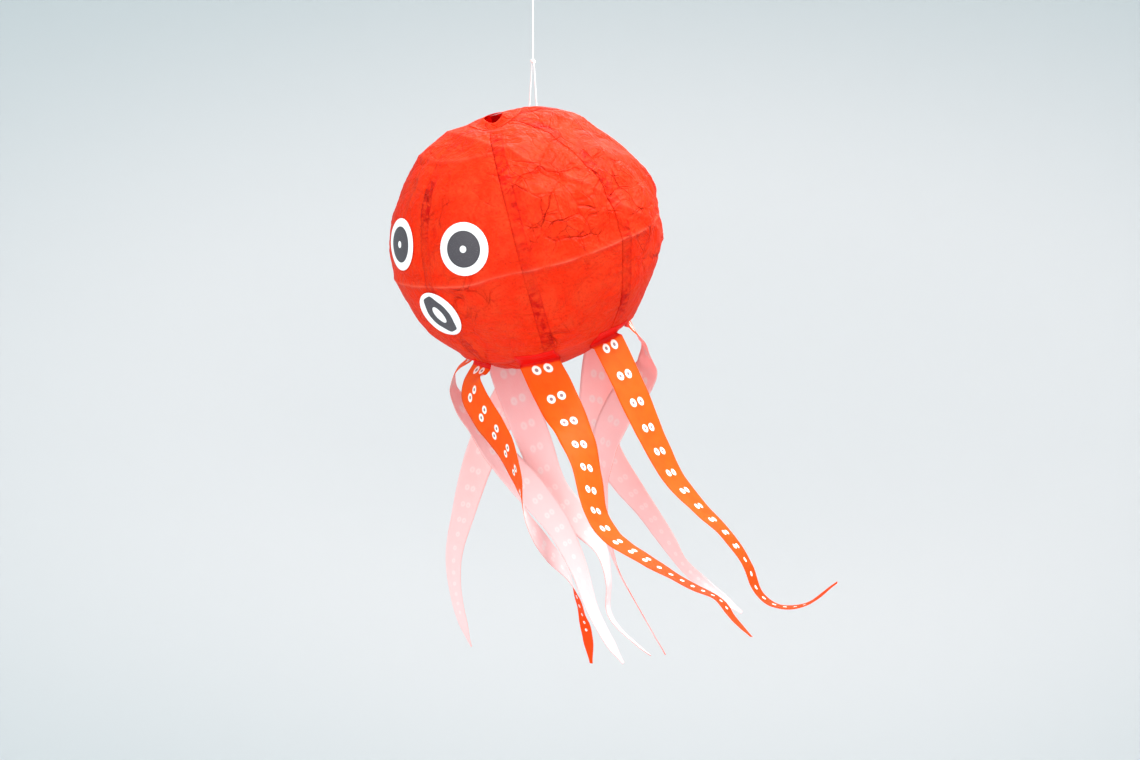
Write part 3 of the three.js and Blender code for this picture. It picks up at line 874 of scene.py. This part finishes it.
def mouth_ink(flat, rough_edge):
    """A long dark mouth, full in the middle and narrower at its rounded ends, round a white oval."""
    x, y, _ = split(flat)
    long = x * cos(MOUTH_TURN) + y * sin(MOUTH_TURN)
    short = y * cos(MOUTH_TURN) - x * sin(MOUTH_TURN)
    height = smooth(abs(long), 0.80 * MOUTH_RADIUS, 0.10 * MOUTH_RADIUS) * MOUTH_MIDDLE_RISE
    height = height + MOUTH_END_HEIGHT
    shape = abs(long / MOUTH_HALF_LENGTH) ** 6.0 + abs(short / height) ** 4.0 + rough_edge * 60.0
    oval = (long / OVAL_HALF_LENGTH) ** 2.0 + (short / OVAL_HALF_HEIGHT) ** 2.0
    oval = oval + rough_edge * 120.0
    rim = smooth(shape, 0.80, 0.95) + smooth(oval, 1.35, 1.1)
    return smooth(shape, 1.04, 0.97) * smooth(oval, 0.93, 1.06), rim


EYE_PAPER = sticker_material("eye_sticker", eye_ink)
MOUTH_PAPER = sticker_material("mouth_sticker", mouth_ink)
for sticker_name, (azimuth, latitude, radius) in STICKER_PLACES.items():
    paper = MOUTH_PAPER if sticker_name == "mouth" else EYE_PAPER
    sticker = laid_disc("sticker_" + sticker_name, azimuth, latitude, 0.0, radius, paper)
    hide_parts(sticker_name)
    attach(sticker, "balloon")

PATCH_PAPER = red_paper_material("red_patch_paper", False)
for patch_name, latitude, inner, outer in (
        ("top_patch", 90.0, BLOW_HOLE_RADIUS, TOP_PATCH_RADIUS),
        ("base_patch", -90.0, 0.0, BASE_PATCH_RADIUS)):
    patch = laid_disc("paper_" + patch_name, 0.0, latitude, inner, outer, PATCH_PAPER)
    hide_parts(patch_name)
    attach(patch, "balloon")


# ---- Arms ----
# Eight tapering strips of thin paper, printed orange with rows of suckers on one side and left
# plain pink on the other. The top of each strip is glued on the skin, and the rest hangs free.

ARM_LENGTH = 0.224
ARM_ROOT_WIDTH = 0.024
ARM_TIP_WIDTH = 0.006
ARM_LATITUDE = -54.5
TAB_LENGTH = 0.011
TAB_HEIGHT = 0.0006
HINGE_CLEARANCE = 0.0009
ARM_NAMES = (
    "front_left", "front", "front_right", "right", "back_right", "back", "back_left", "left")
FIRST_ROW = 0.0036
LAST_ROW = 0.2000
FIRST_PITCH = 0.0195
LAST_PITCH = 0.0055
LAST_PAIR_ROW = 10.5
# The spacing of a pair of suckers and the width of each, and how fast both shrink along the arm.
PAIR_SPACING = 0.0070
PAIR_SHRINK = 0.027
SUCKER_WIDTH = 0.0052
SUCKER_SHRINK = 0.0185
SUCKER_HOLE_SHARE = 0.40
NARROWING = 2.75
FREE_PLACES = (0.004, 0.040)
TIP_START = 0.93
TIP_CUT = 0.7
TIP_SLANT = 0.35
FLUTTER_DEPTH = 0.0011
GLUE_LIFT = 0.00012
STRIP_DROP_HEIGHT = 0.005
STRIP_DROP_REACH = 0.012
ARM_COLUMNS, ARM_ROWS = 13, 320
INKED_ROUGHNESS = 0.48
PLAIN_ROUGHNESS = 0.6
STRIP_BUMP = 0.0002
INKED_LIT_SHARE = 0.4
PLAIN_LIT_SHARE = 0.3
ORANGE = (0.95, 0.136, 0.006)
ORANGE_RED = (0.94, 0.068, 0.004)
# PINK_DEEP is the painted shade near the roots, and also the ghost of the printed sucker centres.
PINK_DEEP = (0.98, 0.58, 0.60)
PINK_PALE = (0.98, 0.75, 0.76)
PINK_LIT = (0.98, 0.66, 0.68)
TAB_SHADE_RED = (0.85, 0.005, 0.002)
SUCKER_CREAM = (0.92, 0.88, 0.80)
SUCKER_CENTRE = (0.21, 0.10, 0.12)
SUCKER_GHOST = (0.99, 0.91, 0.90)


def strip_stations(node, joint):
    """Walks a CAD strip from its root to its tip: the middle and the way across at each station."""
    mesh = frame["nodes"][node].data
    keys, index = {}, []
    for vertex in mesh.vertices:
        key = tuple(round(value, 6) for value in vertex.co)
        index.append(keys.setdefault(key, len(keys)))
    points = [Vector(key) for key in keys]
    near = [set() for _ in points]
    for edge in mesh.edges:
        a, b = (index[i] for i in edge.vertices)
        near[a].add(b)
        near[b].add(a)
    pivot, axis = Vector(joint["pos_m"]), Vector(joint["axis"])
    order = sorted(range(len(points)), key=lambda i: axis.cross(points[i] - pivot).length)
    across, out = axis, (pivot - balloon_place.translation).normalized()
    ring, seen, stations = order[:6], set(), []
    while ring:
        seen.update(ring)
        west_first = sorted(ring, key=lambda i: -points[i].dot(across))
        pairs = [sorted(west_first[k:k + 2], key=lambda i: points[i].dot(out)) for k in (0, 2, 4)]
        middles = [(points[a] + points[b]) / 2 for a, b in pairs]
        across = (middles[0] - middles[2]).normalized()
        out = sum(((points[b] - points[a]) for a, b in pairs), Vector()).normalized()
        stations.append((middles[1], across))
        ring = list(set().union(*(near[i] for i in ring)) - seen)
    return stations


def arm_tree():
    """A tapering strip that follows its stations, laid on the skin above its root."""
    tree, given = geometry_tree("paper_arm", {
        "Path": "Geometry", "Tab Length": "Float", "Length": "Float", "Root Width": "Float",
        "Tip Width": "Float", "Paper Thickness": "Float", "Flutter": "Float", "Seed": "Float",
        "Lift": "Float", "Skin": "Object", "Printed Side": "Material", "Plain Side": "Material"})
    path = given["Path"]
    line = path.node("GeometryNodeMeshToCurve", {}, {"Mesh": path})
    line = line.node("GeometryNodeCurveSplineType", {"spline_type": "CATMULL_ROM"}, {"Curve": line})
    line = line.node("GeometryNodeSetSplineResolution", {}, {"Geometry": line, "Resolution": 6})
    strip = unit_grid(line, ARM_COLUMNS, ARM_ROWS)
    x, y, _ = split(strip.node("GeometryNodeInputPosition"))
    total = line.node("GeometryNodeCurveLength", {}, {"Curve": line})
    across_there = line.node("GeometryNodeInputNamedAttribute", {"data_type": "FLOAT_VECTOR"}, {
        "Name": "across"}, "Attribute")
    reach = (y + 0.5) * total
    along = reach - given["Tab Length"]
    share = (along.math("MAXIMUM", 0.0) / given["Length"]).math("MINIMUM", 1.0)
    narrowing = (1.0 - share ** 3.0) ** NARROWING
    width = given["Tip Width"] + (given["Root Width"] - given["Tip Width"]) * narrowing
    tip = smooth(share, TIP_START, 1.0)
    width = width * (1.0 - tip * TIP_CUT)
    slant = tip * x * width * -TIP_SLANT
    there = line.node("GeometryNodeSampleCurve", {"mode": "LENGTH", "data_type": "FLOAT_VECTOR"}, {
        "Curves": line, "Value": across_there, "Length": reach + slant}, "Value")
    across = vector_math("NORMALIZE", there)
    tangent = there.sibling("Tangent")
    out = vector_math("NORMALIZE", vector_math("CROSS_PRODUCT", across, tangent))
    free = smooth(along, *FREE_PLACES)
    wave = noise(combine(along * 26.0, given["Seed"], x * 0.7), 1.0, 2.0) - 0.5
    twist = noise(combine(along * 40.0, given["Seed"] + 9.0, 0.0), 1.0, 1.0) - 0.5
    crinkle = noise(combine(along * 150.0, given["Seed"] + 4.0, x * width * 150.0), 1.0, 2.0) - 0.5
    rise = (wave * 2.0 + twist * x * 3.0 + crinkle * 0.22) * given["Flutter"] * free
    rise = rise - x * x * width * 0.10 * free
    place = shifted(shifted(there.sibling("Position"), across, x * width), out, rise)
    hit = dropped(shifted(place, out, STRIP_DROP_HEIGHT), out, STRIP_DROP_REACH, given["Skin"])
    glued = smooth(along, 0.003, -0.0015) * hit
    laid = shifted(hit.sibling("Hit Position"), out, given["Lift"])
    onto_skin = vector_math("SUBTRACT", laid, place)
    strip = kept_on(strip, "UVMap", "FLOAT2", "CORNER", combine(x * width, along, 0.0))
    strip = strip.node("GeometryNodeSetPosition", {}, {
        "Geometry": strip, "Position": shifted(place, onto_skin, glued)})
    whole = thickened(strip, given["Paper Thickness"], "printed")
    printed = whole.node("GeometryNodeInputNamedAttribute", {"data_type": "BOOLEAN"}, {
        "Name": "printed"}, "Attribute")
    close_tree(whole, [(given["Plain Side"], None), (given["Printed Side"], printed)])
    return tree


def sucker_marks(across, along, soften):
    """Rows of printed rings that crowd together and shrink towards the tip. Gives ring and centre."""
    pace = (FIRST_PITCH - LAST_PITCH) / (LAST_ROW - FIRST_ROW)
    left = (1.0 - (along - FIRST_ROW) * (pace / FIRST_PITCH)).math("MAXIMUM", 0.05)
    row = (left.math("LOGARITHM", e) * (-1 / pace)).math("ROUND")
    last = -np.log(LAST_PITCH / FIRST_PITCH) / pace
    row = row.math("MAXIMUM", 0.0).math("MINIMUM", float(round(last)))
    row_place = FIRST_ROW + (1.0 - (row * -pace).math("EXPONENT")) * (FIRST_PITCH / pace)
    half_gap = (PAIR_SPACING - row_place * PAIR_SHRINK) * 0.5 * (1.0 - (row > LAST_PAIR_ROW))
    ring_width = (SUCKER_WIDTH - row_place * SUCKER_SHRINK) * 0.5
    ring_height = ring_width * (1.15 + row_place * 0.9)
    dx = (abs(across) - half_gap) / ring_width
    dy = (along - row_place) / ring_height
    reach = (dx * dx + dy * dy) ** 0.5
    ring = smooth(reach, 1.0 + soften, 1.0 - soften)
    soften = soften * 0.6
    centre = smooth(reach, SUCKER_HOLE_SHARE + soften, SUCKER_HOLE_SHARE - soften)
    return ring, centre


def arm_material(name, printed):
    """Thin strip paper: ink over it on the printed side, and its pale ghost on the plain one."""
    made, start = new_material(name)
    flat = start.node("ShaderNodeUVMap", {"uv_map": "UVMap"})
    across, along, _ = split(flat)
    place = start.node("ShaderNodeTexCoord", {}, {}, "Object")
    cloud = noise(place, 120.0, 4.0, 0.6)
    grain = noise(place, 1500.0, 3.0, 0.6)
    fibre = noise(vector_math("MULTIPLY", flat, (900.0, 260.0, 1.0)), 1.0, 3.0, 0.6)
    wobble = (grain - 0.5) * 0.0003
    if printed:
        ring, centre = sucker_marks(across + wobble, along + wobble, 0.07)
        colour = mixed(smooth(along, 0.105, 0.185), ORANGE, ORANGE_RED)
        colour = mixed(smooth(cloud, 0.4, 0.7) * 0.35, colour, ORANGE_RED)
        # Painted shade: the glued tab lies over the balloon's paper, and the two layers let less light
        # through, so it is a deeper red.
        stuck = smooth(along + (cloud - 0.5) * 0.002, 0.0012, 0.0002)
        colour = mixed(stuck, colour, TAB_SHADE_RED)
        colour = mixed(ring, colour, mixed(grain * 0.2, SUCKER_CREAM, PINK_PALE))
        colour = mixed(centre * 0.9, colour, SUCKER_CENTRE)
        roughness, glow = INKED_ROUGHNESS, ORANGE
        through = (1.0 - ring * 0.9) * (1.0 - stuck * 0.7) * INKED_LIT_SHARE
    else:
        ring, centre = sucker_marks(across + wobble, along + wobble, 0.30)
        # Painted shade: the plain side is a deeper pink near its root, where the balloon shades it, and
        # paler further down.
        colour = mixed(smooth(along, 0.008, 0.085), PINK_DEEP, PINK_PALE)
        colour = mixed(smooth(cloud, 0.35, 0.7) * 0.4, colour, PINK_PALE)
        colour = mixed(ring * 0.75, colour, SUCKER_GHOST)
        colour = mixed(centre * 0.3, colour, PINK_DEEP)
        roughness, glow, through = PLAIN_ROUGHNESS, PINK_LIT, PLAIN_LIT_SHARE
    height = fibre * 0.5 + grain * 0.3 + cells(place, 260.0) * 0.4
    finish_material(start, colour, roughness + cloud * 0.15, height, STRIP_BUMP, specular=0.15,
                    glow=glow, through=through)
    return made


PRINTED_SIDE = arm_material("orange_printed_paper", True)
PLAIN_SIDE = arm_material("pink_plain_paper", False)
ARM_TREE = arm_tree()
joints = {joint["name"]: joint for joint in frame["joints"]}
to_upright = balloon_place.inverted()
for seed, arm_name in enumerate(ARM_NAMES):
    joint = joints[f"arm_{arm_name}_lift"]
    root = to_upright @ Vector(joint["pos_m"])
    azimuth = np.degrees(np.arctan2(root.x, -root.y))
    stations = []
    for share in range(5):
        north = HINGE_CLEARANCE + TAB_LENGTH * (1 - share / 4)
        latitude = ARM_LATITUDE + north / BALLOON_RADIUS * 180 / pi
        on_skin = balloon_place @ balloon_point(azimuth, latitude, TAB_HEIGHT)
        stations.append((on_skin, Vector(joint["axis"])))
    stations += strip_stations("arm_" + arm_name, joint)
    path = path_mesh("arm_path", [middle for middle, _ in stations])
    across = path.attributes.new("across", "FLOAT_VECTOR", "POINT")
    across.data.foreach_set("vector", [value for _, way in stations for value in way])
    arm = grow("arm_strip_" + arm_name, ARM_TREE, {
        "Tab Length": TAB_LENGTH + HINGE_CLEARANCE, "Length": ARM_LENGTH, "Root Width": ARM_ROOT_WIDTH,
        "Tip Width": ARM_TIP_WIDTH, "Paper Thickness": PAPER_THICKNESS, "Flutter": FLUTTER_DEPTH,
        "Seed": 3.1 * seed, "Lift": GLUE_LIFT, "Skin": skin,
        "Printed Side": PRINTED_SIDE, "Plain Side": PLAIN_SIDE}, path)
    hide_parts("arm_" + arm_name, "tab_" + arm_name)
    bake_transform(arm)

bpy.data.objects.remove(skin)


# ---- Stage and light ----
# A pale blue-grey sweep of painted board stands all round, with its floor bent up into
# its wall, and a painted pool of light on it, palest behind the toy. Large soft lamps light the toy
# from above, both sides, below and behind.

STAGE_RADIUS = 4.5
STAGE_FLOOR = -1.6
STAGE_HEIGHT = 3.6
STAGE_BEND = 1.2
STAGE_LIT_MIDDLE = (0.79, 0.78, 0.786)
STAGE_SHADED_EDGE = (0.50, 0.57, 0.59)
STAGE_SIDES = 96
STAGE_ROUGHNESS = 0.9
STAGE_BUMP = 0.0005


def stage_profile():
    """Radius and height from the floor's middle, round the bend, up the wall."""
    profile = [(STAGE_RADIUS * share / 12, STAGE_FLOOR) for share in range(1, 9)]
    for step in range(13):
        angle = pi / 2 * step / 12
        profile.append((STAGE_RADIUS - STAGE_BEND + STAGE_BEND * sin(angle),
                        STAGE_FLOOR + STAGE_BEND * (1 - cos(angle))))
    profile.append((STAGE_RADIUS, STAGE_FLOOR + STAGE_HEIGHT))
    return profile


def build_stage():
    """The sweep: its profile turned round the middle, and a floor that closes it."""
    profile, sides = stage_profile(), STAGE_SIDES
    points, faces = [], [tuple(range(sides))]
    for ring_radius, height in profile:
        for side in range(sides):
            turn = 2 * pi * side / sides
            points.append((ring_radius * sin(turn), -ring_radius * cos(turn), height))
    for ring in range(len(profile) - 1):
        for side in range(sides):
            after = (side + 1) % sides
            faces.append((ring * sides + side, ring * sides + after,
                          (ring + 1) * sides + after, (ring + 1) * sides + side))
    mesh = bpy.data.meshes.new("stage")
    mesh.from_pydata(points, [], faces)
    for polygon in mesh.polygons:
        polygon.use_smooth = True
    return put("stage", mesh)


def stage_material():
    """Matt paint with a painted pool of light: palest behind the toy, darker and bluer away from it."""
    made, start = new_material("stage_paint_and_light_pool")
    place = start.node("ShaderNodeTexCoord", {}, {}, "Object")
    x, y, z = split(place)
    # Painted pool of light: the colour is pale around the middle behind the toy, and darker and bluer
    # further off.
    off_centre = vector_math("LENGTH", combine(x * 0.45 - 0.12, z + 0.3, 0.0))
    colour = mixed(smooth(off_centre + noise(place, 0.8, 1.0) * 0.1, 0.55, 1.7), STAGE_LIT_MIDDLE, STAGE_SHADED_EDGE)
    finish_material(start, colour, STAGE_ROUGHNESS, noise(place, 3.0), STAGE_BUMP, specular=0.1)
    return made


stage = build_stage()
stage.data.materials.append(stage_material())


# Each lamp's place, width and power.
LAMPS = {
    "top_lamp": ((0.9, -0.4, 1.7), 1.1, 84.0),
    "front_lamp": ((-1.6, -2.4, 0.6), 1.8, 42.0),
    "side_lamp": ((2.4, -1.2, 0.5), 1.8, 26.0),
    "under_lamp": ((-0.4, -1.2, -1.45), 2.0, 20.0),
    "back_lamp": ((0.5, 2.0, 1.8), 1.4, 28.0),
}
SKY_STRENGTH = 0.95

for lamp_name, (lamp_place, lamp_width, lamp_power) in LAMPS.items():
    lamp = bpy.data.lights.new(lamp_name, "AREA")
    lamp.shape = "DISK"
    lamp.size = lamp_width
    lamp.energy = lamp_power
    stand = put(lamp_name, lamp)
    stand.location = lamp_place
    stand.rotation_euler = (AIM - Vector(lamp_place)).to_track_quat("-Z", "Y").to_euler()

world = bpy.data.worlds.new("sky")
world.use_nodes = True
sky = world.node_tree.nodes["Background"]
sky.inputs["Color"].default_value = (1.0, 1.0, 1.0, 1.0)
sky.inputs["Strength"].default_value = SKY_STRENGTH
bpy.context.scene.world = world
bpy.context.scene.view_settings.view_transform = "Standard"
